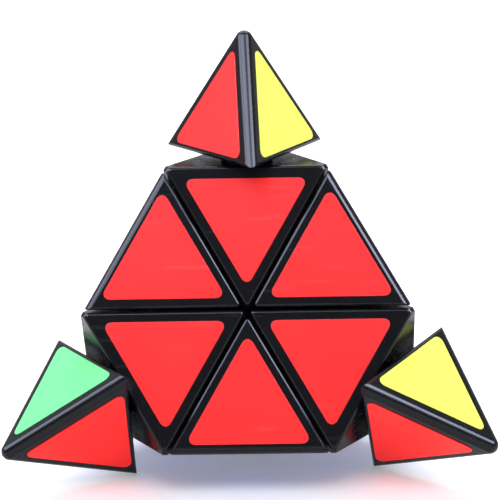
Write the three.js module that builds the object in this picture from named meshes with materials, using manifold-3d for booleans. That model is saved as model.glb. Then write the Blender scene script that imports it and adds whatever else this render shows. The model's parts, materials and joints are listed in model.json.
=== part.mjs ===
// A pyramid twisty puzzle: a tetrahedron cut into four tips, four axial pieces and six edge pieces
// that turn round four axes on a sprung core. The axes meet at the origin, in the middle of the core,
// and +Z points up through the top tip. Units are millimetres.

import * as THREE from "three";
import { ConvexGeometry } from "three/addons/geometries/ConvexGeometry.js";
import { mergeVertices } from "three/addons/utils/BufferGeometryUtils.js";
import Module from "manifold-3d";

const wasm = await Module();
wasm.setup();

// ---- Driving sizes ----------------------------------------------------------------------------

const EDGE = 98; // edge of the sharp tetrahedron that the pieces are cut from
const CUT_GAP = 0.4; // free space across each cut between two pieces
const TIP_GAP = 1.2; // the same under a tip
const PROUD = { body: 0.2, tip: 0.6 }; // how far the outer faces stand outside the sharp tetrahedron
const RIDGE_ROUND = 1.7; // rounding of the tetrahedron's own edges and corners
const CUT_ROUND = 0.6; // rounding of the edges along the cuts
const WALL = 2; // wall of the hollow shells
const FACE_WALL = 4.3; // plastic left under the middle of a face, outside the mechanism
const TIP_TURN = { top: -55.5, left: -60.5, right: 69, back: 60 }; // degrees out of line with the faces

const FOOT_THICKNESS = 4; // edge piece's foot, along a radius
const FOOT_CLEARANCE = 0.6; // between a foot and what it slides on
const CONE_GAP = 0.5; // between two feet, across the cone that parts them
const STEM = { wall: 0.9, breadth: 9, depth: 8 }; // foot's stem, and the shell's wall beside its narrow side
const FIT_GAP = 0.3; // between two pieces that are fastened together

const POST_RADIUS = 3; // core post that an axial piece turns on
const POST_STAND = 1.5; // how far the post stands above the hub's floor
const RUN_GAP = 0.25; // between the post and the hub's bore
const SLEEVE_WALL = 1.3; // hub's sleeve round the post
const HUB_FLANGE = 2; // flange that holds the feet down
const HUB_FLOOR = 2.8; // floor that the spring stands on, above the flange's inner face
const HUB_WALL = 1; // round the spring's well

const COLLAR_RADIUS = 5.5; // bore that the tip's plug clips into
const COLLAR_WALL = 1.7;
const COLLAR_DEPTH = 3.6;
const PLUG_WALL = 1.2;
const HOOK_REACH = 0.6; // how far a hook stands out under the collar
const HOOK_HEIGHT = 1.2;
const HOOK_CLEARANCE = 0.5; // between the hooks and the well's wall
const PRONG_SLOT = 1.6; // width of the slots that part the plug's prongs
const BASE_PLATE = 1.8; // thickness of the tip's base plate
const BASE_RIM = 3.6; // shell's rim round the base plate, from the sharp edge

const SCREW = { headRadius: 2.9, headHeight: 1.8, shankRadius: 1.3, engagement: 7 };
const CROSS = { length: 3.2, width: 0.8, depth: 1 }; // the screw head's cross recess
const SPRING = { wireRadius: 0.3, turns: 4.5, clearance: 0.9 }; // clearance round the post
const WASHER = { thickness: 0.7, clearance: 0.4 }; // clearance round the screw, overhang past the spring
const STACK_GAP = 0.15; // between screw head, washer, spring and floor

const ROUND_STEPS = 2; // facets across a rounded edge
const BALL_SEGMENTS = 24;
const TUBE_SEGMENTS = 20;
const SCREW_SEGMENTS = 12;
const WIRE_SEGMENTS = 6;
const COIL_SEGMENTS = 10; // in one turn of the spring
const FAR = 200; // size of a cutter that is larger than the puzzle

// ---- Sizes worked out from those --------------------------------------------------------------

const CELL = EDGE / 3; // edge of one small tetrahedron or octahedron
const HEIGHT = EDGE * Math.sqrt(2 / 3);
const INRADIUS = HEIGHT / 4; // centre to a face
const LAYER_CUT = HEIGHT / 12; // centre to the cut that frees a layer
const TIP_CUT = (HEIGHT * 5) / 12; // centre to the cut that frees a tip
const CORNER_ANGLE = Math.acos(-1 / 3); // between two of the four axes

const CAVITY_RADIUS = INRADIUS - FACE_WALL;
const FOOT_OUTER = CAVITY_RADIUS - FOOT_CLEARANCE;
const FOOT_INNER = FOOT_OUTER - FOOT_THICKNESS;
const BALL_RADIUS = FOOT_INNER - FOOT_CLEARANCE;
const SLEEVE_BORE = POST_RADIUS + RUN_GAP;
const SLEEVE_RADIUS = SLEEVE_BORE + SLEEVE_WALL;
// The feet of a layer end on a cone round its axis, which just clears the next axis's sleeve.
const FOOT_CONE = CORNER_ANGLE - Math.asin((SLEEVE_RADIUS + FOOT_CLEARANCE) / FOOT_INNER);
const CONE_HALF_GAP = CONE_GAP / 2 / FOOT_INNER; // as an angle
// An edge shell comes to an edge on its inner side, and is this wide where the cavity cuts it.
const INNER_EDGE = CELL / Math.sqrt(8) + (CUT_GAP / 2) * Math.sqrt(3 / 2);
const INNER_WIDTH = (CAVITY_RADIUS - INNER_EDGE) * Math.SQRT2;
const STEM_WIDTH = INNER_WIDTH - 2 * (STEM.wall + FIT_GAP);

const COLLAR_TOP = TIP_CUT - CUT_GAP / 2;
const BASE_BOTTOM = COLLAR_TOP + TIP_GAP;
const COLLAR_BOTTOM = COLLAR_TOP - COLLAR_DEPTH;
const HOOK_TOP = COLLAR_BOTTOM - FIT_GAP;
const PLUG_BOTTOM = HOOK_TOP - HOOK_HEIGHT;
const PLUG_RADIUS = COLLAR_RADIUS - FIT_GAP;
const HOOK_RADIUS = PLUG_RADIUS + HOOK_REACH;
const WELL_RADIUS = HOOK_RADIUS + HOOK_CLEARANCE;
const HEAD_TOP = PLUG_BOTTOM - 2 * FIT_GAP;
const HEAD_BOTTOM = HEAD_TOP - SCREW.headHeight;
const WASHER_BOTTOM = HEAD_BOTTOM - STACK_GAP - WASHER.thickness;
const FLOOR_TOP = CAVITY_RADIUS + HUB_FLOOR;
const SPRING_TOP = WASHER_BOTTOM - STACK_GAP;
const SPRING_BOTTOM = FLOOR_TOP + STACK_GAP;
const POST_TOP = FLOOR_TOP + POST_STAND;
const SCREW_END = POST_TOP - SCREW.engagement;
const COIL_RADIUS = POST_RADIUS + SPRING.clearance + SPRING.wireRadius;
const WASHER_RADIUS = COIL_RADIUS + SPRING.wireRadius + WASHER.clearance;
const WASHER_BORE = SCREW.shankRadius + WASHER.clearance;

// ---- Solids -----------------------------------------------------------------------------------

// A closed three.js geometry as a manifold-3d solid, placed by an optional matrix.
function solid(geometry, matrix) {
  const bare = new THREE.BufferGeometry();
  bare.setAttribute("position", geometry.getAttribute("position").clone());
  if (geometry.index) bare.setIndex(geometry.index.clone());
  if (matrix) bare.applyMatrix4(matrix);
  const merged = mergeVertices(bare, 1e-4);
  const triVerts = new Uint32Array(merged.index.array);
  const vertProperties = merged.attributes.position.array;
  return new wasm.Manifold(new wasm.Mesh({ numProp: 3, vertProperties, triVerts }));
}

// A manifold-3d solid as a three.js geometry, flat shaded.
function geometryOf(made) {
  const mesh = made.getMesh();
  const geometry = new THREE.BufferGeometry();
  geometry.setAttribute("position", new THREE.BufferAttribute(mesh.vertProperties, mesh.numProp));
  geometry.setIndex(new THREE.BufferAttribute(mesh.triVerts, 1));
  const flat = geometry.toNonIndexed();
  flat.computeVertexNormals();
  return flat;
}

// A profile of [radius, height] points turned round +Z. It starts and ends on the axis, or closes.
function turned(profile, segments = TUBE_SEGMENTS) {
  const points = profile.map(([radius, height]) => new THREE.Vector2(radius, height));
  const lathe = new THREE.LatheGeometry(points, segments);
  return solid(lathe, new THREE.Matrix4().makeRotationX(Math.PI / 2));
}

function disc(radius, bottom, top, segments) {
  return turned([[0, bottom], [radius, bottom], [radius, top], [0, top]], segments);
}

function tube(bore, radius, bottom, top) {
  return turned([[bore, bottom], [radius, bottom], [radius, top], [bore, top], [bore, bottom]]);
}

function box(width, depth, bottom, top, angle = 0) {
  const turn = new THREE.Matrix4().makeRotationZ(angle);
  const lift = new THREE.Matrix4().makeTranslation(0, 0, (bottom + top) / 2);
  return solid(new THREE.BoxGeometry(width, depth, top - bottom), turn.multiply(lift));
}

function ball(radius) {
  const steps = BALL_SEGMENTS / 2;
  const middle = Array.from({ length: steps - 1 }, (_, i) => {
    const angle = Math.PI * (1 - (i + 1) / steps);
    return [radius * Math.sin(angle), radius * Math.cos(angle)];
  });
  return turned([[0, -radius], ...middle, [0, radius]], BALL_SEGMENTS);
}

// Everything within an angle of +Z, seen from the origin, as far as a reach.
function cone(angle, reach) {
  const radius = reach * Math.sin(angle);
  return turned([[0, 0], [radius, reach * Math.cos(angle)], [radius, reach], [0, reach]], BALL_SEGMENTS);
}

// ---- Convex bodies ----------------------------------------------------------------------------

// The point where three planes meet once each is taken in by an inset.
function meet(planes, inset) {
  const [a, b, c] = planes.map(({ out }) => out);
  const crosses = [b.clone().cross(c), c.clone().cross(a), a.clone().cross(b)];
  const point = new THREE.Vector3();
  crosses.forEach((cross, i) => point.addScaledVector(cross, planes[i].reach - inset));
  return point.divideScalar(a.dot(crosses[0]));
}

// Directions spread over the patch of a sphere between three face directions.
function patch(faces) {
  const found = [];
  for (let i = 0; i <= ROUND_STEPS; i++) {
    for (let j = 0; j <= ROUND_STEPS - i; j++) {
      const shares = [i, j, ROUND_STEPS - i - j];
      const direction = new THREE.Vector3();
      faces.forEach((face, k) => direction.addScaledVector(face, shares[k]));
      found.push(direction.normalize());
    }
  }
  return found;
}

// The body inside some planes, taken in by an inset, with its edges rounded. Each plane has the
// direction that it faces and its reach from the origin.
function within(planes, inset, round = 0) {
  const depth = inset + round;
  const points = [];
  const inside = (point) => planes.every(({ out, reach }) => out.dot(point) < reach - depth + 1e-6);
  planes.forEach((first, i) => {
    planes.slice(i + 1).forEach((second, j) => {
      for (const third of planes.slice(i + j + 2)) {
        const trio = [first, second, third];
        if (Math.abs(first.out.dot(second.out.clone().cross(third.out))) < 1e-6) continue;
        const point = meet(trio, depth);
        if (!inside(point)) continue;
        const directions = round > 0 ? patch(trio.map(({ out }) => out)) : [new THREE.Vector3()];
        points.push(...directions.map((direction) => point.clone().addScaledVector(direction, round)));
      }
    });
  });
  return solid(new ConvexGeometry(points));
}

// A plane that keeps what lies below a height along an axis, or above it.
const below = (axis, height) => ({ out: axis.clone(), reach: height });
const above = (axis, height) => ({ out: axis.clone().negate(), reach: -height });

// An outer piece: its planes, rounded a little along the cuts and more along the tetrahedron's edges.
function moulded(planes, axes, proud) {
  const whole = axes.map((axis) => above(axis, -INRADIUS - proud));
  return within(planes, 0, CUT_ROUND).intersect(within(whole, 0, RIDGE_ROUND));
}

// ---- Frames -----------------------------------------------------------------------------------

// The four axes, outwards. The front face lies between the top, left and right corners.
function cornerDirection(azimuth) {
  const flat = Math.sqrt(8) / 3;
  const angle = THREE.MathUtils.degToRad(azimuth);
  return new THREE.Vector3(flat * Math.cos(angle), flat * Math.sin(angle), -1 / 3);
}

const AXES = {
  top: new THREE.Vector3(0, 0, 1),
  left: cornerDirection(210),
  right: cornerDirection(330),
  back: cornerDirection(90),
};

// A group turned so that its +Z points along one direction and its +X leans towards another.
function framed(along, towards) {
  const z = along.clone().normalize();
  const x = towards.clone().addScaledVector(z, -towards.dot(z)).normalize();
  const y = z.clone().cross(x);
  const group = new THREE.Group();
  group.quaternion.setFromRotationMatrix(new THREE.Matrix4().makeBasis(x, y, z));
  group.updateMatrix();
  return group;
}

// In a corner's frame +Z is its axis, and the puzzle's edges leave it at 0, 120 and 240 degrees.
function cornerFrame(name) {
  const towards = Object.keys(AXES).find((other) => other !== name);
  return framed(AXES[name], AXES[towards]);
}

// In an edge piece's frame +Z runs out from the core and +X along the puzzle's edge.
function edgeFrame(from, to) {
  return framed(AXES[from].clone().add(AXES[to]), AXES[to]);
}

// ---- Tips -------------------------------------------------------------------------------------

const cornerOthers = [0, 120, 240].map((azimuth) => cornerDirection(azimuth));
const cornerAxes = [new THREE.Vector3(0, 0, 1), ...cornerOthers];
const tipPlanes = [
  above(cornerAxes[0], BASE_BOTTOM),
  ...cornerOthers.map((axis) => above(axis, -INRADIUS - PROUD.tip)),
];

// The three faces of a tip, hollow and open below.
function tipShell() {
  const mouth = plate(0, BASE_BOTTOM - FIT_GAP, BASE_BOTTOM + WALL + FIT_GAP);
  return moulded(tipPlanes, cornerAxes, PROUD.tip).subtract(within(tipPlanes, WALL)).subtract(mouth);
}

// A triangular plate inside the tip's rim, with its sides taken in by an inset.
function plate(inset, bottom, top) {
  const flat = Math.hypot(cornerOthers[0].x, cornerOthers[0].y);
  const edge = (INRADIUS + PROUD.tip - BASE_BOTTOM / 3) / flat;
  const reach = edge - BASE_RIM - inset;
  const sides = cornerOthers.map(({ x, y }) => new THREE.Vector3(-x, -y, 0).normalize());
  const planes = [above(cornerAxes[0], bottom), below(cornerAxes[0], top)];
  return within([...planes, ...sides.map((side) => below(side, reach))], 0);
}

// The plate that closes a tip, with the split plug that clips it to the axial piece.
function tipBase() {
  const lid = plate(FIT_GAP, BASE_BOTTOM, BASE_BOTTOM + BASE_PLATE);
  const bore = PLUG_RADIUS - PLUG_WALL;
  const top = BASE_BOTTOM + BASE_PLATE / 2;
  const plug = turned([
    [bore, PLUG_BOTTOM],
    [PLUG_RADIUS, PLUG_BOTTOM],
    [HOOK_RADIUS, HOOK_TOP - HOOK_REACH],
    [HOOK_RADIUS, HOOK_TOP],
    [PLUG_RADIUS, HOOK_TOP],
    [PLUG_RADIUS, FAR],
    [bore, FAR],
    [bore, PLUG_BOTTOM],
  ]);
  // A plug that is wider than the plate keeps clear of the shell's rim.
  const under = BASE_BOTTOM - FIT_GAP;
  const clear = box(FAR, FAR, 0, under).add(plate(FIT_GAP, under - FIT_GAP, top));
  const slots = [0, 1, 2].map((i) => box(FAR, PRONG_SLOT, 0, BASE_BOTTOM, (i * Math.PI) / 3));
  return slots.reduce((made, slot) => made.subtract(slot), plug.intersect(clear)).add(lid);
}

// ---- Axial pieces -----------------------------------------------------------------------------

const axialPlanes = [
  below(cornerAxes[0], COLLAR_TOP),
  above(cornerAxes[0], LAYER_CUT + CUT_GAP / 2),
  ...cornerOthers.map((axis) => above(axis, -INRADIUS - PROUD.body)),
  ...cornerOthers.map((axis) => below(axis, LAYER_CUT - CUT_GAP / 2)),
];

// The three faces of an axial piece and the collar for the tip, open towards the core.
function axialShell() {
  const hollow = within(axialPlanes, WALL);
  const collar = tube(COLLAR_RADIUS, COLLAR_RADIUS + COLLAR_WALL, COLLAR_BOTTOM, COLLAR_TOP - WALL / 2);
  const bore = disc(COLLAR_RADIUS, COLLAR_BOTTOM, FAR, TUBE_SEGMENTS);
  const skin = moulded(axialPlanes, cornerAxes, PROUD.body);
  return skin.subtract(hollow).subtract(ball(CAVITY_RADIUS)).subtract(bore).add(collar);
}

// The spring's well, the flange that holds the feet down, and the sleeve that turns on the post.
function axialHub() {
  const space = within(axialPlanes, WALL + FIT_GAP);
  const flange = space.intersect(ball(CAVITY_RADIUS + HUB_FLANGE)).subtract(ball(CAVITY_RADIUS));
  const cup = disc(WELL_RADIUS + HUB_WALL, CAVITY_RADIUS, HOOK_TOP, TUBE_SEGMENTS).intersect(space);
  const well = disc(WELL_RADIUS, FLOOR_TOP, FAR, TUBE_SEGMENTS);
  const sleeve = disc(SLEEVE_RADIUS, BALL_RADIUS + FIT_GAP, FLOOR_TOP, TUBE_SEGMENTS);
  const bore = disc(SLEEVE_BORE, 0, FAR, TUBE_SEGMENTS);
  return flange.add(cup).add(sleeve).subtract(well).subtract(bore);
}

// ---- Edge pieces ------------------------------------------------------------------------------

const edgeHalf = CORNER_ANGLE / 2;
const [edgeSine, edgeCosine] = [Math.sin(edgeHalf), Math.cos(edgeHalf)];
const edgeOwn = [-1, 1].map((side) => new THREE.Vector3(side * edgeSine, 0, edgeCosine));
const edgeOthers = [-1, 1].map((side) => new THREE.Vector3(0, side * edgeSine, -edgeCosine));
const edgePlanes = [
  ...edgeOwn.map((axis) => above(axis, LAYER_CUT + CUT_GAP / 2)),
  ...edgeOthers.map((axis) => above(axis, -INRADIUS - PROUD.body)),
];

// The two faces of an edge piece, hollow, with a slot for the foot's stem.
function edgeShell() {
  const [width, breadth] = [STEM_WIDTH + 2 * FIT_GAP, STEM.breadth + 2 * FIT_GAP];
  const slot = box(width, breadth, 0, CAVITY_RADIUS + STEM.depth + FIT_GAP);
  const skin = moulded(edgePlanes, [...edgeOwn, ...edgeOthers], PROUD.body);
  return skin.subtract(within(edgePlanes, WALL)).subtract(ball(CAVITY_RADIUS)).subtract(slot);
}

// A solid about +Z turned to lie about another direction.
function aimed(made, direction) {
  const turn = new THREE.Quaternion().setFromUnitVectors(new THREE.Vector3(0, 0, 1), direction);
  return made.transform(new THREE.Matrix4().makeRotationFromQuaternion(turn).toArray());
}

// The foot slides between the core and the hubs' flanges. It is the part of a thick ball that lies
// inside the cones of its own two layers and outside the cones of the other two.
function edgeFoot() {
  const own = cone(FOOT_CONE - CONE_HALF_GAP, 2 * FOOT_OUTER);
  const others = cone(FOOT_CONE + CONE_HALF_GAP, 2 * FOOT_OUTER);
  const shell = ball(FOOT_OUTER).subtract(ball(FOOT_INNER));
  const kept = edgeOwn.reduce((made, layer) => made.intersect(aimed(own, layer)), shell);
  const foot = edgeOthers.reduce((made, layer) => made.subtract(aimed(others, layer)), kept);
  const stem = box(STEM_WIDTH, STEM.breadth, FOOT_OUTER - FOOT_THICKNESS / 2, CAVITY_RADIUS + STEM.depth);
  return foot.add(stem);
}

// ---- Core and its fasteners -------------------------------------------------------------------

// A ball with four posts, each with a pilot hole for a screw.
function coreSpider() {
  const post = disc(POST_RADIUS, 0, POST_TOP, TUBE_SEGMENTS);
  const pilot = disc(SCREW.shankRadius + FIT_GAP, SCREW_END - 2 * FIT_GAP, FAR, SCREW_SEGMENTS);
  const frames = Object.keys(AXES).map((name) => cornerFrame(name).matrix.toArray());
  const placed = (made) => frames.map((frame) => made.transform(frame));
  const spider = placed(post).reduce((made, arm) => made.add(arm), ball(BALL_RADIUS));
  return placed(pilot).reduce((made, hole) => made.subtract(hole), spider);
}

function screw() {
  const half = SCREW.headHeight / 2;
  const body = turned([
    [0, SCREW_END],
    [SCREW.shankRadius / 2, SCREW_END],
    [SCREW.shankRadius, SCREW_END + SCREW.shankRadius],
    [SCREW.shankRadius, HEAD_BOTTOM],
    [SCREW.headRadius, HEAD_BOTTOM],
    [SCREW.headRadius, HEAD_BOTTOM + half],
    [SCREW.headRadius - half, HEAD_TOP],
    [0, HEAD_TOP],
  ], SCREW_SEGMENTS);
  const recess = HEAD_TOP - CROSS.depth;
  const slots = [0, Math.PI / 2].map((turn) => box(CROSS.length, CROSS.width, recess, FAR, turn));
  return body.subtract(slots[0]).subtract(slots[1]);
}

function washer() {
  return tube(WASHER_BORE, WASHER_RADIUS, WASHER_BOTTOM, WASHER_BOTTOM + WASHER.thickness);
}

// A helix that stays inside the space between the hub's floor and the washer.
class Helix extends THREE.Curve {
  getPoint(t, target = new THREE.Vector3()) {
    const angle = t * SPRING.turns * 2 * Math.PI;
    const low = SPRING_BOTTOM + SPRING.wireRadius;
    const high = SPRING_TOP - SPRING.wireRadius;
    return target.set(
      COIL_RADIUS * Math.cos(angle),
      COIL_RADIUS * Math.sin(angle),
      low + (high - low) * t,
    );
  }
}

function spring() {
  const section = new THREE.Shape();
  section.absarc(0, 0, SPRING.wireRadius, 0, 2 * Math.PI, false);
  const options = {
    steps: Math.ceil(SPRING.turns * COIL_SEGMENTS),
    curveSegments: WIRE_SEGMENTS / 2,
    extrudePath: new Helix(),
    bevelEnabled: false,
  };
  return solid(new THREE.ExtrudeGeometry(section, options));
}

// ---- Assembly ---------------------------------------------------------------------------------

const blackPlastic = new THREE.MeshStandardMaterial({ color: 0x0b0b0d, roughness: 0.25, metalness: 0 });
const innerPlastic = new THREE.MeshStandardMaterial({ color: 0x141416, roughness: 0.45, metalness: 0 });
const corePlastic = new THREE.MeshStandardMaterial({ color: 0x1a1a1d, roughness: 0.45, metalness: 0 });
const steel = new THREE.MeshStandardMaterial({ color: 0xb8bcc2, roughness: 0.3, metalness: 1 });

const puzzle = new THREE.Group();

function place(name, geometry, material, frame) {
  const mesh = new THREE.Mesh(geometry, material);
  mesh.name = name;
  frame.add(mesh);
}

const shapes = {
  tipShell: geometryOf(tipShell()),
  tipBase: geometryOf(tipBase()),
  axialShell: geometryOf(axialShell()),
  axialHub: geometryOf(axialHub()),
  edgeShell: geometryOf(edgeShell()),
  edgeFoot: geometryOf(edgeFoot()),
  screw: geometryOf(screw()),
  washer: geometryOf(washer()),
  spring: geometryOf(spring()),
};

place("core", geometryOf(coreSpider()), corePlastic, puzzle);

for (const name of Object.keys(AXES)) {
  const corner = cornerFrame(name);
  puzzle.add(corner);
  place(`axial_shell_${name}`, shapes.axialShell, blackPlastic, corner);
  place(`axial_hub_${name}`, shapes.axialHub, innerPlastic, corner);
  place(`spring_${name}`, shapes.spring, steel, corner);
  place(`washer_${name}`, shapes.washer, steel, corner);
  place(`screw_${name}`, shapes.screw, steel, corner);
  const tip = new THREE.Group();
  tip.rotation.z = THREE.MathUtils.degToRad(TIP_TURN[name]);
  corner.add(tip);
  place(`tip_shell_${name}`, shapes.tipShell, blackPlastic, tip);
  place(`tip_base_${name}`, shapes.tipBase, innerPlastic, tip);
}

const names = Object.keys(AXES);
names.forEach((from, i) => {
  for (const to of names.slice(i + 1)) {
    const frame = edgeFrame(from, to);
    puzzle.add(frame);
    place(`edge_shell_${from}_${to}`, shapes.edgeShell, blackPlastic, frame);
    place(`edge_foot_${from}_${to}`, shapes.edgeFoot, innerPlastic, frame);
  }
});

// The row's origin is the middle of the bottom of the box round the whole puzzle.
const bounds = new THREE.Box3().setFromObject(puzzle, true);
const middle = bounds.getCenter(new THREE.Vector3());
puzzle.position.set(-middle.x, -middle.y, -bounds.min.z);

export default puzzle;
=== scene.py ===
"""A pyramid twisty puzzle: glossy black shells, vinyl stickers, sprung core, and a small studio.

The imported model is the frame. It gives the centre, the four axes and the size of a cell, and every
piece here is worked out from those. Lengths are metres, and +Z points up through the top tip.
"""

import json
import math
from itertools import combinations

import bmesh
import bpy
from bpy.props import FloatProperty, FloatVectorProperty, IntProperty, PointerProperty
from mathutils import Matrix, Vector

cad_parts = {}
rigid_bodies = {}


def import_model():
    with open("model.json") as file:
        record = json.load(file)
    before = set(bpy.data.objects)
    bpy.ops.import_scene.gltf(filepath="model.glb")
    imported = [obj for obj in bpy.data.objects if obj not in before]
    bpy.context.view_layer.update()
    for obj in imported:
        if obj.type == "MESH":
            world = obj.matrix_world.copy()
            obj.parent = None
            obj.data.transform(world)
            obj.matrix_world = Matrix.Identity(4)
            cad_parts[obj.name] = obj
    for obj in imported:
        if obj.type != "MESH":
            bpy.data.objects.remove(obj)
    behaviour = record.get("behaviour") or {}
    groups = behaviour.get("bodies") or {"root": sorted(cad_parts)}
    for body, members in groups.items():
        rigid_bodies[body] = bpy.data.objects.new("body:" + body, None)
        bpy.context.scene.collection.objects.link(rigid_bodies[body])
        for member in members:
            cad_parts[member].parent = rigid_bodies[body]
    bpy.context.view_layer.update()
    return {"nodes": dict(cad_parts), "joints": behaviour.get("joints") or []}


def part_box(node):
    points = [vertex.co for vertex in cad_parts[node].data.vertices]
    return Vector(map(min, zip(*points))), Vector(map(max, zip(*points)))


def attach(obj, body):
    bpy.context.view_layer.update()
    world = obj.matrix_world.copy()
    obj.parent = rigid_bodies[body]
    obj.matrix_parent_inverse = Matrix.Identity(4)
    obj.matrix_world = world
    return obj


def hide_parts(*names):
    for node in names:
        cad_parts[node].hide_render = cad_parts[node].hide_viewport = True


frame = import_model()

bl_info = {
    "name": "Pyramid twisty puzzle",
    "version": (1, 0, 0),
    "blender": (4, 5, 0),
    "location": "3D View > Sidebar > Puzzle",
    "description": "Shells, stickers, springs and a studio for a pyramid twisty puzzle",
    "category": "Add Mesh",
}

MM = 0.001
SHARP_TURN = math.radians(32)  # edges that turn more than this stay sharp
ROUND_SEGMENTS = 48  # facets round a ring, a rod or a screw
COIL_STEPS = 36  # in one turn of a spring
FLOOR_RADIUS = 6
FLOOR_GLOW = 0.2  # light that the floor gives off, so that shadows stay pale

# ---- The frame --------------------------------------------------------------------------------

CORNERS = ("top", "left", "right", "back")
LAYERS = {joint["child"]: joint for joint in frame["joints"] if joint["parent"] == "core"}
CENTRE = Vector(LAYERS["axial_top"]["pos_m"])
AXES = {corner: Vector(LAYERS["axial_" + corner]["axis"]).normalized() for corner in CORNERS}
EDGES = [(a, b) for i, a in enumerate(CORNERS) for b in CORNERS[i + 1:]]
# The colour of each face, by the corner opposite it.
FACE_COLOURS = {"back": "red", "right": "green", "left": "yellow", "top": "blue"}

# An axial piece reaches from half a gap over the cut that frees its layer, a twelfth of the height
# from the centre, to half a gap under the cut that frees its tip, five twelfths from the centre.
LAYER_RISE, CUT_RISE = (corner.z - CENTRE.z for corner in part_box("axial_shell_top"))
HEIGHT = 2 * (LAYER_RISE + CUT_RISE)
BASE_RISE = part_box("tip_shell_top")[0].z - CENTRE.z
FACE_REACH = CENTRE.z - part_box("edge_shell_left_right")[0].z
CORNER_REACH = HEIGHT * 3 / 4
CELL = HEIGHT / 3 * math.sqrt(3 / 2)
TRIANGLE_INRADIUS = CELL / (2 * math.sqrt(3))


def framed(along, towards):
    """Turns +Z along one direction and leans +X towards another, round the puzzle's centre."""
    z = along.normalized()
    x = (towards - z * towards.dot(z)).normalized()
    turn = Matrix((x, z.cross(x), z)).transposed().to_4x4()
    return Matrix.Translation(CENTRE) @ turn


def corner_frame(corner):
    """In a corner's frame +Z is its axis and +X leans towards another corner."""
    towards = next(other for other in CORNERS if other != corner)
    return framed(AXES[corner], AXES[towards])


def edge_frame(first, second):
    """In an edge piece's frame +Z runs out from the core and +X along the puzzle's edge."""
    return framed(AXES[first] + AXES[second], AXES[second])


def tip_turn(corner):
    """How far a tip is turned out of line. The cubes of its points, as complex numbers across the
    axis, add up to three times the angle, because the tip has three like sides. That leaves the
    thirds of a turn open, and two tips are turned the other way."""
    back = corner_frame(corner).inverted()
    total = 0
    for vertex in frame["nodes"]["tip_shell_" + corner].data.vertices:
        place = back @ vertex.co
        total += complex(place.x, place.y) ** 3
    third = 2 * math.pi / 3
    angle = math.atan2(total.imag, total.real) / 3 % third
    return angle - third if corner in ("top", "left") else angle


def tip_face_reach():
    """How far the faces of a tip stand from the centre."""
    axis = Matrix.Rotation(tip_turn("top"), 3, AXES["top"]) @ AXES["left"]
    return max((CENTRE - vertex.co).dot(axis) for vertex in frame["nodes"]["tip_shell_top"].data.vertices)


def thirds(*corners):
    """A point on the sharp tetrahedron, as the mean of three of its corners."""
    total = sum((AXES[corner] for corner in corners), Vector())
    return total * CORNER_REACH / len(corners)


# ---- Sizes and colours ------------------------------------------------------------------------


def length(name, description, millimetres):
    """A length property, with its default in millimetres."""
    return FloatProperty(name=name, description=description, default=millimetres * MM, min=0, unit="LENGTH")


def colour(name, description, default):
    """A colour property."""
    return FloatVectorProperty(
        name=name, description=description, default=default, subtype="COLOR", size=3, min=0, max=1
    )


class ShellSizes(bpy.types.PropertyGroup):
    """Sizes of the moulded shells."""

    ridge: length("Ridge rounding", "Radius of the puzzle's own edges and corners", 1.7)
    ridge_steps: IntProperty(name="Ridge steps", description="Facets across a ridge", default=14, min=1)
    cut: length("Cut rounding", "Radius of the edges along the cuts", 0.7)
    cut_steps: IntProperty(name="Cut steps", description="Facets across a cut's edge", default=4, min=1)
    wall: length("Wall", "Thickness of the shells", 2.0)
    cavity: length("Cavity", "Radius of the round space for the mechanism", 15.7)
    rim: length("Base rim", "Rim round a tip's base plate, from its sharp edge", 3.6)
    mouth: length("Mouth", "Depth of the recess for a tip's base plate", 2.3)
    collar: length("Collar", "Radius of the bore that a tip's plug clips into", 5.5)
    collar_wall: length("Collar wall", "Thickness of the collar", 1.7)
    collar_depth: length("Collar depth", "Length of the collar", 3.6)
    stem_width: length("Slot width", "Narrow side of an edge shell's slot", 3.7)
    stem_breadth: length("Slot breadth", "Long side of an edge shell's slot", 9.6)
    stem_depth: length("Slot depth", "Depth of the slot past the cavity", 8.3)


class StickerSizes(bpy.types.PropertyGroup):
    """Sizes of the vinyl stickers."""

    border: length("Border", "Black border round a sticker, from the cell's sharp edge", 2.29)
    tip_border: length("Tip border", "The same on the tips", 2.38)
    inward: length("Inward", "How far an axial piece's stickers stand towards the middle of a face", 0.35)
    drop: length("Drop", "How far a tip's stickers stand towards its base", 0.28)
    corner: length("Corner radius", "Radius of a sticker's corners", 1.3)
    thickness: length("Thickness", "Thickness of the vinyl", 0.16)
    edge: length("Edge", "Softness of the cut edge", 0.05)


class SpringSizes(bpy.types.PropertyGroup):
    """Sizes of the springs and screws that the frame's boxes don't give."""

    wire: length("Wire radius", "Radius of the spring wire", 0.3)
    turns: FloatProperty(name="Turns", description="Turns of the spring", default=4.5, min=1)
    bore: length("Washer bore", "Radius of the washer's hole", 1.7)
    shank: length("Shank radius", "Radius of the screw's shank", 1.3)
    head: length("Head height", "Height of the screw's head", 1.8)
    recess: length("Recess", "Length of the cross recess", 3.2)
    blade: length("Blade", "Width of the cross recess", 0.8)


class Finishes(bpy.types.PropertyGroup):
    """Colours of the plastics and the vinyl."""

    shell: colour("Shell", "Outer black plastic", (0.0035, 0.0037, 0.005))
    inner: colour("Inner", "Plastic of hubs, feet and bases", (0.014, 0.014, 0.016))
    core: colour("Core", "Plastic of the core", (0.02, 0.02, 0.022))
    steel: colour("Steel", "Springs, washers and screws", (0.56, 0.57, 0.6))
    red: colour("Red", "Front stickers", (0.93, 0.007, 0.004))
    green: colour("Green", "Left stickers", (0.16, 0.84, 0.29))
    yellow: colour("Yellow", "Right stickers", (0.86, 0.94, 0.11))
    blue: colour("Blue", "Underside stickers", (0.01, 0.055, 0.4))


# ---- Materials --------------------------------------------------------------------------------


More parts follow.
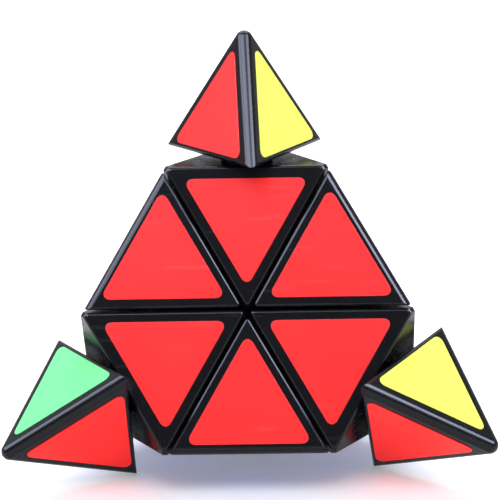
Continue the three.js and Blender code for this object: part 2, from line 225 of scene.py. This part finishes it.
class Wire:
    """A node's output that can take part in sums and products."""

    def __init__(self, shader, socket):
        self.shader = shader
        self.socket = socket

    def _math(self, operation, first, second):
        return self.shader.node("Math", {"operation": operation}, {0: first, 1: second})

    def __add__(self, other):
        return self._math("ADD", self, other)

    __radd__ = __add__

    def __sub__(self, other):
        return self._math("SUBTRACT", self, other)

    def __rsub__(self, other):
        return self._math("SUBTRACT", other, self)

    def __mul__(self, other):
        return self._math("MULTIPLY", self, other)

    __rmul__ = __mul__


class Shader:
    """A material's or a world's node tree, made from Python."""

    def __init__(self, owner, output, surface):
        owner.use_nodes = True
        self.tree = owner.node_tree
        self.tree.nodes.clear()
        self.surface = self.tree.nodes.new("ShaderNode" + surface)
        end = self.tree.nodes.new("ShaderNodeOutput" + output)
        self.tree.links.new(self.surface.outputs[0], end.inputs["Surface"])

    def feed(self, socket, value):
        """Gives a socket a link or a value."""
        if isinstance(value, Wire):
            self.tree.links.new(value.socket, socket)
        elif socket.type == "RGBA":
            socket.default_value = (*value, 1)
        else:
            socket.default_value = value

    def node(self, kind, settings, sockets, output=0):
        """A node of one kind, its settings first, then the values or links of its sockets."""
        made = self.tree.nodes.new("ShaderNode" + kind)
        for name, value in settings.items():
            setattr(made, name, value)
        for name, value in sockets.items():
            self.feed(made.inputs[name], value)
        return Wire(self, made.outputs[output])

    def finish(self, **sockets):
        """Sets the surface's own sockets, named with underscores for spaces."""
        for name, value in sockets.items():
            self.feed(self.surface.inputs[name.replace("_", " ")], value)

    def noise(self, place, size, detail=2.0, stretch=(1, 1, 1)):
        """Smooth noise from 0 to 1 whose features are about one size across, in metres."""
        scaled = self.node("Mapping", {}, {"Vector": place, "Scale": [s / size for s in stretch]})
        return self.node("TexNoise", {}, {"Vector": scaled, "Scale": 1.0, "Detail": detail})

    def above(self, value, low, high):
        """0 below one value and 1 above another, with a smooth step between."""
        settings = {"interpolation_type": "SMOOTHSTEP", "clamp": True}
        return self.node("MapRange", settings, {"Value": value, "From Min": low, "From Max": high})

    def mixed(self, share, first, second):
        """One colour into another."""
        mix = self.tree.nodes.new("ShaderNodeMix")
        mix.data_type = "RGBA"
        self.feed(mix.inputs["Factor"], share)
        self.feed(mix.inputs[6], first)
        self.feed(mix.inputs[7], second)
        return Wire(self, mix.outputs[2])

    def bump(self, height, strength, distance):
        """A normal that follows a height."""
        return self.node("Bump", {}, {"Strength": strength, "Distance": distance, "Height": height})

    def place(self):
        """Object coordinates."""
        return self.node("TexCoord", {}, {}, "Object")


def principled(name):
    """A new material with a principled surface."""
    return Shader(bpy.data.materials.new(name), "Material", "BsdfPrincipled")


def material_of(shader):
    """The material that a shader's tree belongs to."""
    return next(m for m in bpy.data.materials if m.node_tree == shader.tree)


def scaled(tint, factor):
    """A colour made lighter or darker."""
    return tuple(min(1.0, channel * factor) for channel in tint)


def scratches(shader, place):
    """Hairlines in two directions, as a mask from 0 to 1."""
    along = shader.above(shader.noise(place, 0.35 * MM, 1.0, (0.03, 1, 0.2)), 0.66, 0.72)
    across = shader.above(shader.noise(place, 0.3 * MM, 1.0, (0.9, 0.04, 0.3)), 0.68, 0.73)
    return along + across


def glossy_plastic(name, tint, roughness):
    """Moulded plastic: a faint orange peel, cloudy gloss and the hairlines of handling."""
    shader = principled(name)
    place = shader.place()
    clouds = shader.noise(place, 9 * MM, 3.0)
    peel = shader.noise(place, 0.9 * MM, 2.0)
    grain = shader.noise(place, 0.12 * MM, 2.0)
    marks = scratches(shader, place)
    shader.finish(
        Base_Color=shader.mixed(clouds, scaled(tint, 0.8), scaled(tint, 1.3)),
        Roughness=clouds * 0.08 + grain * 0.04 + marks * 0.1 + (roughness - 0.06),
        Normal=shader.bump(peel + grain * 0.1 - marks * 0.15, 0.12, 0.05 * MM),
        Specular_IOR_Level=0.15,
    )
    return material_of(shader)


def vinyl(name, tint):
    """Printed vinyl: almost even colour, a slight texture from the glue, and a satin top."""
    shader = principled(name)
    place = shader.place()
    clouds = shader.noise(place, 12 * MM, 3.0)
    print_grain = shader.noise(place, 0.25 * MM, 2.0)
    glue = shader.noise(place, 2.2 * MM, 2.0)
    marks = scratches(shader, place)
    shader.finish(
        Base_Color=shader.mixed(clouds * 0.7 + print_grain * 0.3, scaled(tint, 0.93), scaled(tint, 1.05)),
        Roughness=clouds * 0.06 + print_grain * 0.05 + marks * 0.08 + 0.3,
        Normal=shader.bump(glue + print_grain * 0.08, 0.1, 0.04 * MM),
        Specular_IOR_Level=0.3,
    )
    return material_of(shader)


def drawn_steel(name, tint):
    """Zinc plated steel with a fine drawn grain."""
    shader = principled(name)
    place = shader.place()
    spangle = shader.noise(place, 0.8 * MM, 3.0)
    grain = shader.noise(place, 0.08 * MM, 2.0, (1, 1, 0.2))
    shader.finish(
        Base_Color=shader.mixed(spangle, scaled(tint, 0.85), scaled(tint, 1.1)),
        Metallic=1.0,
        Roughness=spangle * 0.12 + grain * 0.08 + 0.2,
        Normal=shader.bump(grain, 0.1, 0.02 * MM),
    )
    return material_of(shader)


# ---- Mesh tools -------------------------------------------------------------------------------


def patch(faces, steps):
    """Directions spread over the patch of a sphere between three face directions."""
    shares = [(i, j, steps - i - j) for i in range(steps + 1) for j in range(steps + 1 - i)]
    blends = (sum((face * share for face, share in zip(faces, trio)), Vector()) for trio in shares)
    return [blend.normalized() for blend in blends]


def within(planes, inset, rounding=0.0, steps=1):
    """A bmesh of the body inside some planes, taken in by an inset, with its edges rounded. A plane
    is the direction that it faces and its reach from the centre."""
    depth = inset + rounding
    bm = bmesh.new()
    for trio in combinations(planes, 3):
        rows = Matrix([out for out, reach in trio])
        if abs(rows.determinant()) < 1e-6:
            continue
        point = rows.inverted() @ Vector([reach - depth for out, reach in trio])
        if all(out.dot(point) < reach - depth + 1e-7 for out, reach in planes):
            for direction in patch([out for out, reach in trio], steps):
                bm.verts.new(point + direction * rounding)
    bmesh.ops.remove_doubles(bm, verts=bm.verts[:], dist=1e-6)
    hull = bmesh.ops.convex_hull(bm, input=bm.verts[:])
    spare = {item for item in hull["geom_interior"] if isinstance(item, bmesh.types.BMVert)}
    bmesh.ops.delete(bm, geom=list(spare), context="VERTS")
    bmesh.ops.dissolve_limit(bm, angle_limit=math.radians(0.5), verts=bm.verts[:], edges=bm.edges[:])
    return bm


def above(axis, height):
    """The plane that keeps what lies above a height along an axis."""
    return (-axis, -height)


def moulded(name, planes, axes, reach, sizes, cuts):
    """An outer piece: its planes, rounded a little along the cuts and more along the puzzle's own
    edges, then cut. The larger body is a hair smaller, so that no two faces of the cut coincide."""
    hair = 0.004 * MM
    whole = within([above(axis, hair - reach) for axis in axes], 0, sizes.ridge, sizes.ridge_steps)
    skin = within(planes, 0, sizes.cut, sizes.cut_steps)
    return carved(name, skin, [("INTERSECT", whole), *cuts])


def mesh_of(bm, name):
    """A mesh from a bmesh, its faces outwards, smooth but for its sharp edges."""
    bmesh.ops.remove_doubles(bm, verts=bm.verts[:], dist=1e-7)
    bmesh.ops.recalc_face_normals(bm, faces=bm.faces[:])
    mesh = bpy.data.meshes.new(name)
    bm.to_mesh(mesh)
    bm.free()
    soften(mesh)
    return mesh


def soften(mesh):
    """Smooth shading, with the edges that turn more than a rounding step left sharp."""
    mesh.shade_smooth()
    mesh.set_sharp_from_angle(angle=SHARP_TURN)


def carved(name, bm, cuts):
    """The bmesh's solid with others cut from it or joined to it, each an operation and a bmesh."""
    body = bpy.data.objects.new(name, mesh_of(bm, name))
    bpy.context.scene.collection.objects.link(body)
    tools = []
    for operation, tool in cuts:
        cutter = bpy.data.objects.new(name + "_tool", mesh_of(tool, name + "_tool"))
        bpy.context.scene.collection.objects.link(cutter)
        tools.append(cutter)
        modifier = body.modifiers.new("cut", "BOOLEAN")
        modifier.operation = operation
        modifier.solver = "EXACT"
        modifier.object = cutter
    evaluated = body.evaluated_get(bpy.context.evaluated_depsgraph_get())
    mesh = bpy.data.meshes.new_from_object(evaluated)
    mesh.name = name
    for used in [body, *tools]:
        spent = used.data
        bpy.data.objects.remove(used)
        bpy.data.meshes.remove(spent)
    soften(mesh)
    return mesh


def turned(profile, segments):
    """A bmesh of (radius, height) points turned round +Z. A last point that repeats the first closes
    the profile."""
    bm = bmesh.new()
    points = [bm.verts.new((radius, 0, height)) for radius, height in profile]
    sides = [bm.edges.new(pair) for pair in zip(points, points[1:])]
    bmesh.ops.spin(
        bm, geom=points + sides, cent=(0, 0, 0), axis=(0, 0, 1), angle=2 * math.pi, steps=segments,
        use_merge=True,
    )
    bmesh.ops.remove_doubles(bm, verts=bm.verts[:], dist=1e-7)
    bmesh.ops.recalc_face_normals(bm, faces=bm.faces[:])
    return bm


def ring(bore, radius, bottom, top, segments=ROUND_SEGMENTS):
    """A bmesh of a flat ring."""
    return turned([(bore, bottom), (radius, bottom), (radius, top), (bore, top), (bore, bottom)], segments)


def rod(radius, bottom, top, segments=ROUND_SEGMENTS):
    """A bmesh of a round rod."""
    return turned([(0, bottom), (radius, bottom), (radius, top), (0, top)], segments)


def ball(radius):
    """A bmesh of a ball."""
    bm = bmesh.new()
    bmesh.ops.create_uvsphere(bm, u_segments=64, v_segments=32, radius=radius)
    return bm


def block(width, breadth, bottom, top):
    """A bmesh of a block across +Z."""
    bm = bmesh.new()
    bmesh.ops.create_cube(bm, size=1)
    bmesh.ops.scale(bm, vec=(width, breadth, top - bottom), verts=bm.verts)
    bmesh.ops.translate(bm, vec=(0, 0, (bottom + top) / 2), verts=bm.verts)
    return bm


def add_piece(name, shape, place, material, body, slot, *nodes):
    """A copy of a shape as a finished piece that rides on a body and stands for CAD nodes."""
    mesh = shape.copy()
    mesh.name = name
    mesh.transform(place)
    mesh.materials.append(material)
    piece = bpy.data.objects.new(name, mesh)
    bpy.context.scene.collection.objects.link(piece)
    smooth = piece.modifiers.new("even normals", "WEIGHTED_NORMAL")
    smooth.mode = "FACE_AREA"
    smooth.keep_sharp = True
    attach(piece, body)
    if nodes:
        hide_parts(*nodes)
    return piece


# ---- Shapes -----------------------------------------------------------------------------------


def local_axes(place, corners):
    """The four axes in a piece's own frame, in the order of these corners and then the rest."""
    back = place.inverted().to_3x3()
    order = [*corners, *(corner for corner in CORNERS if corner not in corners)]
    return [back @ AXES[corner] for corner in order]


def tip_shape(sizes):
    """Three faces and a rim round the recess for the base plate, with a hollow behind it."""
    own, *others = local_axes(corner_frame("top"), ["top"])
    reach = tip_face_reach()
    planes = [above(own, BASE_RISE), *(above(axis, -reach) for axis in others)]
    flat = others[0].xy.length
    side = (reach - BASE_RISE / 3) / flat - sizes.rim
    walls = [(-axis.xy.to_3d().normalized(), side) for axis in others]
    mouth = [above(own, BASE_RISE - sizes.mouth), (own, BASE_RISE + sizes.mouth), *walls]
    cuts = [("DIFFERENCE", within(planes, sizes.wall)), ("DIFFERENCE", within(mouth, 0))]
    return moulded("tip_shape", planes, [own, *others], reach, sizes, cuts)


def axial_shape(sizes):
    """Three faces, the collar for the tip, and the round space for the mechanism."""
    own, *others = local_axes(corner_frame("top"), ["top"])
    cut = HEIGHT / 6 - LAYER_RISE
    planes = [(own, CUT_RISE), above(own, LAYER_RISE)]
    planes += [above(axis, -FACE_REACH) for axis in others] + [(axis, cut) for axis in others]
    low = CUT_RISE - sizes.collar_depth
    cuts = [
        ("DIFFERENCE", within(planes, sizes.wall)),
        ("DIFFERENCE", ball(sizes.cavity)),
        ("UNION", ring(sizes.collar, sizes.collar + sizes.collar_wall, low, CUT_RISE - sizes.wall / 2)),
        ("DIFFERENCE", rod(sizes.collar, low - sizes.wall, CUT_RISE + sizes.wall)),
    ]
    return moulded("axial_shape", planes, [own, *others], FACE_REACH, sizes, cuts)


def edge_shape(sizes):
    """Two faces and two cut sides, hollow, with a slot for the foot's stem."""
    first, second, *others = local_axes(edge_frame("top", "left"), ["top", "left"])
    planes = [above(axis, LAYER_RISE) for axis in (first, second)]
    planes += [above(axis, -FACE_REACH) for axis in others]
    cuts = [
        ("DIFFERENCE", within(planes, sizes.wall)),
        ("DIFFERENCE", ball(sizes.cavity)),
        ("DIFFERENCE", block(sizes.stem_width, sizes.stem_breadth, 0, sizes.cavity + sizes.stem_depth)),
    ]
    return moulded("edge_shape", planes, [first, second, *others], FACE_REACH, sizes, cuts)


def sticker_shape(sizes, border):
    """A triangle of vinyl with round corners and a soft cut edge. Its first corner points to +Y."""
    bm = bmesh.new()
    bmesh.ops.create_circle(bm, cap_ends=True, segments=3, radius=2 * (TRIANGLE_INRADIUS - border))
    bmesh.ops.bevel(
        bm, geom=bm.verts[:], offset=sizes.corner * math.sqrt(3), offset_type="OFFSET", segments=8,
        profile=0.5, affect="VERTICES", clamp_overlap=True, material=-1,
    )
    top = bmesh.ops.extrude_face_region(bm, geom=bm.faces[:])["geom"]
    raised = [item for item in top if isinstance(item, bmesh.types.BMVert)]
    bmesh.ops.translate(bm, vec=(0, 0, sizes.thickness), verts=raised)
    rim = [edge for edge in bm.edges if all(vertex in raised for vertex in edge.verts)]
    bmesh.ops.bevel(
        bm, geom=rim, offset=sizes.edge, offset_type="OFFSET", segments=2, profile=0.5,
        affect="EDGES", clamp_overlap=True, material=-1,
    )
    return mesh_of(bm, "sticker_shape")


def spring_shape(sizes, low, high):
    """A coil of round wire that fills its box in the frame."""
    reach = (high.x - low.x) / 2 - sizes.wire
    bm = bmesh.new()
    bmesh.ops.create_circle(bm, cap_ends=False, segments=12, radius=sizes.wire)
    bmesh.ops.rotate(bm, cent=(0, 0, 0), matrix=Matrix.Rotation(math.pi / 2, 3, "X"), verts=bm.verts)
    bottom = low.z - CENTRE.z + sizes.wire
    bmesh.ops.translate(bm, vec=(reach, 0, bottom), verts=bm.verts)
    steps = round(sizes.turns * COIL_STEPS)
    rise = (high.z - low.z - 2 * sizes.wire) / steps
    bmesh.ops.spin(
        bm, geom=bm.verts[:] + bm.edges[:], cent=(0, 0, 0), axis=(0, 0, 1), dvec=(0, 0, rise),
        angle=sizes.turns * 2 * math.pi, steps=steps,
    )
    bmesh.ops.holes_fill(bm, edges=[edge for edge in bm.edges if edge.is_boundary])
    return mesh_of(bm, "spring_shape")


def washer_shape(sizes, low, high):
    """A flat ring with broken edges."""
    bm = ring(sizes.bore, (high.x - low.x) / 2, low.z - CENTRE.z, high.z - CENTRE.z, 64)
    sharp = [edge for edge in bm.edges if edge.calc_face_angle(0) > math.radians(60)]
    bmesh.ops.bevel(
        bm, geom=sharp, offset=0.08 * MM, offset_type="OFFSET", segments=2, profile=0.5,
        affect="EDGES", clamp_overlap=True, material=-1,
    )
    return mesh_of(bm, "washer_shape")


def screw_shape(sizes, low, high):
    """A pan-head screw with a cross recess."""
    head = (high.x - low.x) / 2
    top = high.z - CENTRE.z
    end = low.z - CENTRE.z
    under = top - sizes.head
    crown = sizes.head / 2
    arc = [math.radians(angle) for angle in range(0, 91, 15)]
    dome = [(head - crown * (1 - math.cos(a)), top - crown * (1 - math.sin(a))) for a in arc]
    profile = [(0, end), (sizes.shank / 2, end), (sizes.shank, end + sizes.shank), (sizes.shank, under)]
    body = turned([*profile, (head, under), *dome, (0, top)], ROUND_SEGMENTS)
    crossed = ((sizes.recess, sizes.blade), (sizes.blade, sizes.recess))
    slots = [block(*sides, top - crown, top + crown) for sides in crossed]
    return carved("screw_shape", body, [("DIFFERENCE", slot) for slot in slots])


# ---- Operators --------------------------------------------------------------------------------


class TipShells(bpy.types.Operator):
    """The four tips' shells, each turned as far as the frame's"""

    bl_idname = "puzzle.tip_shells"
    bl_label = "Tip shells"

    def execute(self, context):
        scene = context.scene
        shape = tip_shape(scene.shell_sizes)
        plastic = glossy_plastic("tip_plastic", scene.finishes.shell, 0.2)
        for corner in CORNERS:
            place = corner_frame(corner) @ Matrix.Rotation(tip_turn(corner), 4, "Z")
            body = "tip_" + corner
            node = "tip_shell_" + corner
            add_piece("tip_cover_" + corner, shape, place, plastic, body, "black_plastic", node)
        return {"FINISHED"}


class AxialShells(bpy.types.Operator):
    """The four axial pieces' shells"""

    bl_idname = "puzzle.axial_shells"
    bl_label = "Axial shells"

    def execute(self, context):
        scene = context.scene
        shape = axial_shape(scene.shell_sizes)
        plastic = glossy_plastic("axial_plastic", scene.finishes.shell, 0.19)
        for corner in CORNERS:
            body = "axial_" + corner
            node = "axial_shell_" + corner
            place = corner_frame(corner)
            add_piece("axial_cover_" + corner, shape, place, plastic, body, "black_plastic", node)
        return {"FINISHED"}


class EdgeShells(bpy.types.Operator):
    """The six edge pieces' shells"""

    bl_idname = "puzzle.edge_shells"
    bl_label = "Edge shells"

    def execute(self, context):
        scene = context.scene
        shape = edge_shape(scene.shell_sizes)
        plastic = glossy_plastic("edge_plastic", scene.finishes.shell, 0.21)
        for first, second in EDGES:
            name = f"{first}_{second}"
            place = edge_frame(first, second)
            node = "edge_shell_" + name
            add_piece("edge_cover_" + name, shape, place, plastic, "edge_" + name, "black_plastic", node)
        return {"FINISHED"}


def face_frame(opposite, corners, reach, shift, turn=0, about="top"):
    """Where a sticker lies: on the face opposite a corner, at a reach from the centre, over the
    middle of three points and shifted towards the first, then turned about an axis."""
    out = -AXES[opposite]
    middle = sum(corners, Vector()) / 3
    ahead = (corners[0] - middle).normalized()
    place = middle + out * (reach - middle.dot(out)) + ahead * shift
    basis = Matrix((ahead.cross(out), ahead, out)).transposed().to_4x4()
    spin = Matrix.Rotation(turn, 4, AXES[about])
    return Matrix.Translation(CENTRE) @ spin @ Matrix.Translation(place) @ basis


class Stickers(bpy.types.Operator):
    """The vinyl stickers: three on each tip and axial piece and two on each edge piece"""

    bl_idname = "puzzle.stickers"
    bl_label = "Stickers"

    def execute(self, context):
        scene = context.scene
        sizes = scene.sticker_sizes
        plain = sticker_shape(sizes, sizes.border)
        small = sticker_shape(sizes, sizes.tip_border)
        tints = {tint: getattr(scene.finishes, tint) for tint in FACE_COLOURS.values()}
        vinyls = {tint: vinyl(tint + "_vinyl", value) for tint, value in tints.items()}
        tip_reach = tip_face_reach()
        for opposite, tint in FACE_COLOURS.items():
            around = [corner for corner in CORNERS if corner != opposite]
            stick = (vinyls[tint], tint + "_vinyl")
            for corner in around:
                first, second = (other for other in around if other != corner)
                near = [thirds(corner, corner, first), thirds(corner, corner, second)]
                apex = [thirds(corner, corner, corner), *near]
                place = face_frame(opposite, apex, tip_reach, -sizes.drop, tip_turn(corner), corner)
                add_piece(f"sticker_tip_{corner}_{tint}", small, place, stick[0], "tip_" + corner, stick[1])
                hub = [thirds(corner, first, second), *near]
                place = face_frame(opposite, hub, FACE_REACH, sizes.inward)
                name = f"sticker_axial_{corner}_{tint}"
                add_piece(name, plain, place, stick[0], "axial_" + corner, stick[1])
            for first, second in EDGES:
                if opposite in (first, second):
                    continue
                third = next(corner for corner in around if corner not in (first, second))
                ends = [thirds(first, first, second), thirds(first, second, second)]
                place = face_frame(opposite, [thirds(first, second, third), *ends], FACE_REACH, 0)
                name = f"{first}_{second}"
                add_piece(f"sticker_edge_{name}_{tint}", plain, place, stick[0], "edge_" + name, stick[1])
        return {"FINISHED"}


class Fasteners(bpy.types.Operator):
    """The springs, washers and screws that hold the axial pieces on the core"""

    bl_idname = "puzzle.fasteners"
    bl_label = "Springs, washers and screws"

    def execute(self, context):
        scene = context.scene
        sizes = scene.spring_sizes
        steel = drawn_steel("fastener_steel", scene.finishes.steel)
        makers = {"spring": spring_shape, "washer": washer_shape, "screw": screw_shape}
        for kind, make in makers.items():
            shape = make(sizes, *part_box(kind + "_top"))
            for corner in CORNERS:
                node = f"{kind}_{corner}"
                add_piece("fine_" + node, shape, corner_frame(corner), steel, "core", "steel", node)
        return {"FINISHED"}


class Mechanism(bpy.types.Operator):
    """Finishes for the CAD pieces that stay: core, hubs, feet and tip bases"""

    bl_idname = "puzzle.mechanism"
    bl_label = "Core, hubs, feet and tip bases"

    def execute(self, context):
        finishes = context.scene.finishes
        inner = glossy_plastic("inner_plastic", finishes.inner, 0.36)
        core = glossy_plastic("core_plastic", finishes.core, 0.4)
        for name, node in frame["nodes"].items():
            if node.hide_render:
                continue
            node.data.materials.clear()
            node.data.materials.append(core if name == "core" else inner)
        return {"FINISHED"}


def heading(azimuth, elevation):
    """The direction at an azimuth from the front, in degrees to the right, and an elevation."""
    turn, tilt = math.radians(azimuth), math.radians(elevation)
    flat = math.cos(tilt)
    return Vector((math.sin(turn) * flat, -math.cos(turn) * flat, math.sin(tilt)))


def add_light(name, place, size, power, tint, aim):
    """A soft light, so wide and so deep, that looks at a point."""
    data = bpy.data.lights.new(name, "AREA")
    data.shape = "RECTANGLE"
    data.size, data.size_y = size
    data.energy = power
    data.color = tint
    light = bpy.data.objects.new(name, data)
    facing = (aim - place).to_track_quat("-Z", "Y").to_matrix().to_4x4()
    light.matrix_world = Matrix.Translation(place) @ facing
    bpy.context.scene.collection.objects.link(light)
    return light


class Studio(bpy.types.Operator):
    """A pale floor, soft lights and the camera"""

    bl_idname = "puzzle.studio"
    bl_label = "Studio"

    def execute(self, context):
        self.floor(context)
        self.lights(context)
        self.camera(context)
        return {"FINISHED"}

    def floor(self, context):
        """A large pale disc that the lowest tip corner stands on, with a faint painted glow that keeps
        shadows pale.
        """
        bm = bmesh.new()
        bmesh.ops.create_circle(bm, cap_ends=True, segments=96, radius=FLOOR_RADIUS)
        mesh = mesh_of(bm, "floor")
        shader = principled("floor_paper")
        clouds = shader.noise(shader.place(), 0.2, 3.0)
        shader.finish(
            Base_Color=shader.mixed(clouds, (0.9, 0.9, 0.9), (0.93, 0.93, 0.93)),
            Roughness=clouds * 0.1 + 0.7,
            # The white emission is a painted glow, not a lamp: it keeps the shadows under the puzzle pale.
            Emission_Color=(1.0, 1.0, 1.0),
            Emission_Strength=FLOOR_GLOW,
        )
        mesh.materials.append(material_of(shader))
        floor = bpy.data.objects.new("floor", mesh)
        context.scene.collection.objects.link(floor)

    def lights(self, context):
        """A sky that is dim in front and bright behind, and soft lights given by where they stand.
        The low light has no glossy part, and the sheen lights show only in reflections."""
        world = bpy.data.worlds.new("studio")
        context.scene.world = world
        sky = Shader(world, "World", "Background")
        direction = sky.node("TexCoord", {}, {}, "Generated")
        depth = sky.node("SeparateXYZ", {}, {"Vector": direction}, "Y")
        behind = sky.above(depth, 0.1, 0.9)
        sky.finish(Color=sky.mixed(behind, (0.34, 0.34, 0.36), (1.06, 1.06, 1.08)), Strength=1.0)
        cool, sheen, white = (0.9, 0.95, 1.0), (0.72, 0.76, 1.0), (1.0, 1.0, 1.0)
        for name, azimuth, elevation, distance, size, power, tint, aim, hidden in (
            ("front", 0, 58, 0.9, (0.55, 0.55), 4.4, cool, 0, None),
            ("low", 0, 8, 1.2, (0.5, 0.1), 1.5, white, 0, "visible_glossy"),
            ("wash", 180, 60, 1.5, (1.6, 1.0), 30, white, 0.7, None),
            ("sheen_top_left", -34, 50, 0.9, (0.46, 0.46), 15.5, sheen, 0, "visible_diffuse"),
            ("sheen_top_right", 54, 46, 0.9, (0.46, 0.46), 15.5, sheen, 0, "visible_diffuse"),
            ("sheen_left", -80, 38, 0.9, (0.6, 0.6), 20, sheen, 0, "visible_diffuse"),
            ("sheen_right", 58, 36, 0.9, (0.5, 0.4), 13, sheen, 0, "visible_diffuse"),
        ):
            stand = CENTRE + heading(azimuth, elevation) * distance
            light = add_light(name, stand, size, power, tint, CENTRE + Vector((0, aim, 0)))
            if hidden:
                setattr(light, hidden, False)
        context.scene.view_settings.view_transform = "Standard"

    def camera(self, context):
        """A long lens, a little above the puzzle's middle and nearly square to its front edge."""
        azimuth, elevation, roll = 1.7, 13.36, -1.29
        distance, aside, rise = 474.4 * MM, 0.23 * MM, 13.67 * MM
        back = heading(azimuth, elevation)
        right = heading(azimuth + 90, 0)
        up = back.cross(right)
        target = CENTRE + right * aside + up * rise
        data = bpy.data.cameras.new("camera")
        data.sensor_width = 36
        data.lens = 169
        data.clip_start = 0.01
        tilted = Matrix((right, up, back)).transposed() @ Matrix.Rotation(math.radians(roll), 3, "Z")
        camera = bpy.data.objects.new("camera", data)
        camera.matrix_world = Matrix.Translation(target + back * distance) @ tilted.to_4x4()
        context.scene.collection.objects.link(camera)
        context.scene.camera = camera


OPERATORS = (TipShells, AxialShells, EdgeShells, Stickers, Fasteners, Mechanism, Studio)


class PuzzlePanel(bpy.types.Panel):
    """Lists the puzzle's operators"""

    bl_idname = "VIEW3D_PT_puzzle"
    bl_label = "Pyramid twisty puzzle"
    bl_space_type = "VIEW_3D"
    bl_region_type = "UI"
    bl_category = "Puzzle"

    def draw(self, context):
        for operator in OPERATORS:
            self.layout.operator(operator.bl_idname)
        for group in GROUPS:
            box = self.layout.box()
            for name in GROUPS[group].__annotations__:
                box.prop(getattr(context.scene, group), name)


GROUPS = {
    "shell_sizes": ShellSizes,
    "sticker_sizes": StickerSizes,
    "spring_sizes": SpringSizes,
    "finishes": Finishes,
}
CLASSES = (*GROUPS.values(), *OPERATORS, PuzzlePanel)


def register():
    for cls in CLASSES:
        bpy.utils.register_class(cls)
    for name, group in GROUPS.items():
        setattr(bpy.types.Scene, name, PointerProperty(type=group))


def unregister():
    for name in GROUPS:
        delattr(bpy.types.Scene, name)
    for cls in reversed(CLASSES):
        bpy.utils.unregister_class(cls)


def main():
    register()
    for operator in OPERATORS:
        family, name = operator.bl_idname.split(".")
        getattr(getattr(bpy.ops, family), name)()


if __name__ == "__main__":
    main()
